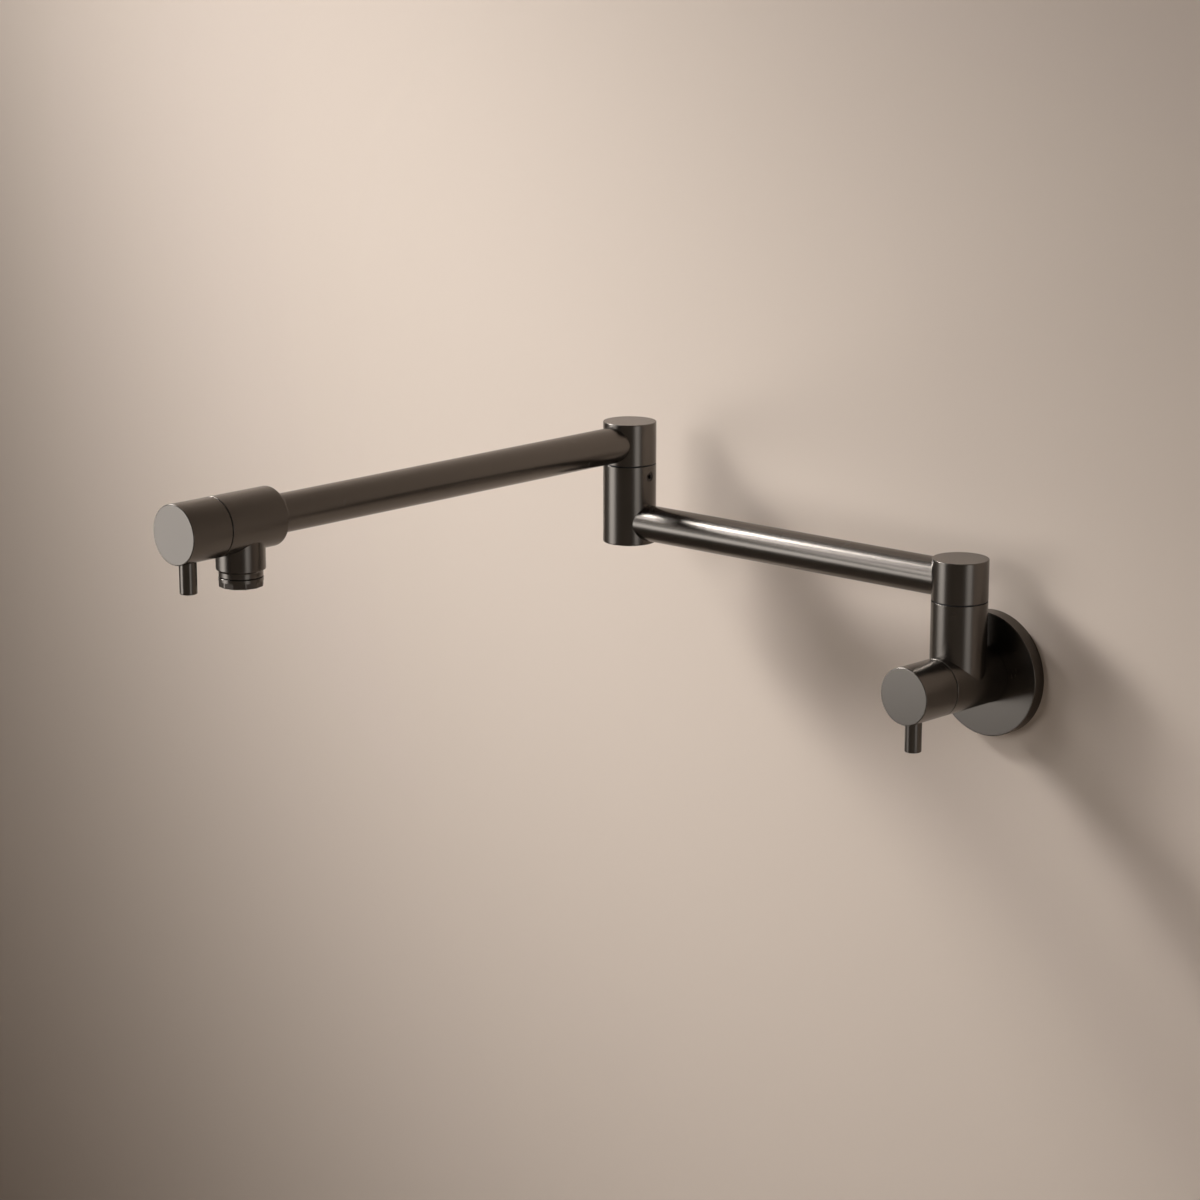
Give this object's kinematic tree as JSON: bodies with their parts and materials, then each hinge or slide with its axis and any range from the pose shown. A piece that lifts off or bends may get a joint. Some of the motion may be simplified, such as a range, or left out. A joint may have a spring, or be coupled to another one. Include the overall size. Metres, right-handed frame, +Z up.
{
  "type": "pot filler",
  "caption": "Wall-mounted folding pot filler with two swing arms, a quarter-turn valve at the wall and one at the spout, in brushed gunmetal",
  "frame": {"origin": "where the axis of the inlet thread meets the wall plane, at the back of the flange", "axes": "+Y into the wall along the inlet thread, -Y out into the room, +Z up, +X to the right as seen from the room"},
  "size_m": [0.2738, 0.3903, 0.1468],
  "materials": {
    "gunmetal_steel": "satin brushed gunmetal coating",
    "brass": "machined",
    "white_ceramic": "lapped",
    "black_rubber": "matte",
    "foam_rubber": "closed-cell foam",
    "acetal": "moulded",
    "graphite_acetal": "moulded, filled with graphite",
    "dark_screw_steel": "black oxide"
  },
  "bodies": {
    "wall_valve": {"wall_flange": "gunmetal_steel", "flange_gasket": "foam_rubber", "flange_oring": "black_rubber", "valve_body": "gunmetal_steel", "inlet_nipple": "brass", "nipple_oring": "black_rubber", "nipple_lock_screw": "dark_screw_steel", "riser_retaining_screw": "dark_screw_steel", "inlet_cartridge_housing": "brass", "inlet_cartridge_oring": "black_rubber", "inlet_seat_seal": "black_rubber", "inlet_fixed_disc": "white_ceramic"},
    "inlet_handle": {"inlet_knob": "gunmetal_steel", "inlet_lever_pin": "gunmetal_steel", "inlet_knob_screw": "dark_screw_steel", "inlet_spindle": "brass", "inlet_spindle_oring": "black_rubber", "inlet_spindle_clip": "dark_screw_steel", "inlet_moving_disc": "white_ceramic"},
    "lower_arm": {"riser_head": "gunmetal_steel", "riser_spigot": "brass", "riser_spigot_orings": "black_rubber", "riser_bearing_washer": "graphite_acetal", "lower_arm_tube": "gunmetal_steel", "elbow_socket": "gunmetal_steel", "elbow_retaining_screw": "dark_screw_steel"},
    "upper_arm": {"elbow_head": "gunmetal_steel", "elbow_spigot": "brass", "elbow_spigot_orings": "black_rubber", "elbow_bearing_washer": "graphite_acetal", "upper_arm_tube": "gunmetal_steel", "outlet_body": "gunmetal_steel", "aerator_ring": "gunmetal_steel", "aerator_insert": "acetal", "aerator_washer": "black_rubber", "outlet_cartridge_housing": "brass", "outlet_cartridge_oring": "black_rubber", "outlet_seat_seal": "black_rubber", "outlet_fixed_disc": "white_ceramic"},
    "outlet_handle": {"outlet_knob": "gunmetal_steel", "outlet_lever_pin": "gunmetal_steel", "outlet_knob_screw": "dark_screw_steel", "outlet_spindle": "brass", "outlet_spindle_oring": "black_rubber", "outlet_spindle_clip": "dark_screw_steel", "outlet_moving_disc": "white_ceramic"}
  },
  "joints": [
    {"name": "inlet_handle_turn", "type": "hinge", "parent": "wall_valve", "child": "inlet_handle", "pos_m": [0, -0.0478, 0], "axis": [0, -1, 0], "range_deg": [0, 90]},
    {"name": "riser_swivel", "type": "hinge", "parent": "wall_valve", "child": "lower_arm", "pos_m": [0, -0.0298, 0], "axis": [0, 0, 1], "range_deg": [-3.7, 176.3]},
    {"name": "elbow_swivel", "type": "hinge", "parent": "lower_arm", "child": "upper_arm", "pos_m": [-0.22553, -0.04438, 0], "axis": [0, 0, 1], "range_deg": [-268.6, 91.4]},
    {"name": "outlet_handle_turn", "type": "hinge", "parent": "upper_arm", "child": "outlet_handle", "pos_m": [-0.22553, -0.04438, 0.0982], "axis": [0.0401, -0.9992, 0], "range_deg": [0, 90]}
  ]
}
